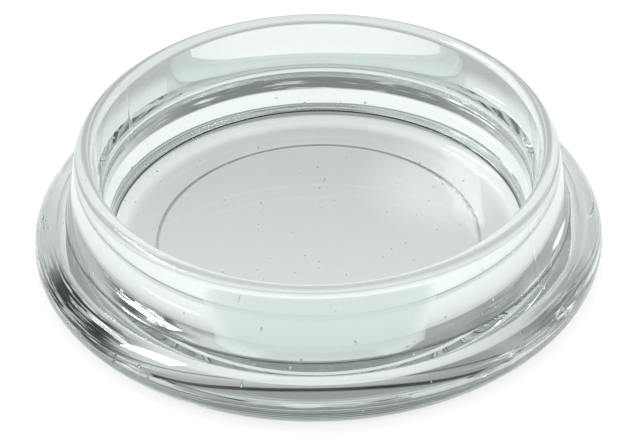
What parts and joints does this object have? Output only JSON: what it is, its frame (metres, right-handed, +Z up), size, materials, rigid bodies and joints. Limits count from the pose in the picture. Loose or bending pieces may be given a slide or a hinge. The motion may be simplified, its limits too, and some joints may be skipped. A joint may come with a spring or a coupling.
{
  "type": "furniture coaster",
  "caption": "Round clear-glass furniture coaster: a shallow flat-floored cup with a rounded rim, rising from a wider flange with a half-round edge.",
  "frame": {"origin": "on the cup's axis, in the plane that the foot stands on", "axes": "+Z up along the cup's axis, out of its mouth; X and Y are alike"},
  "size_m": [0.08, 0.08, 0.0183],
  "materials": {
    "clear_glass": "fire-polished pressed glass, clear with a faint cool tint"
  },
  "bodies": {
    "root": {"coaster_cup": "clear_glass"}
  },
  "joints": []
}
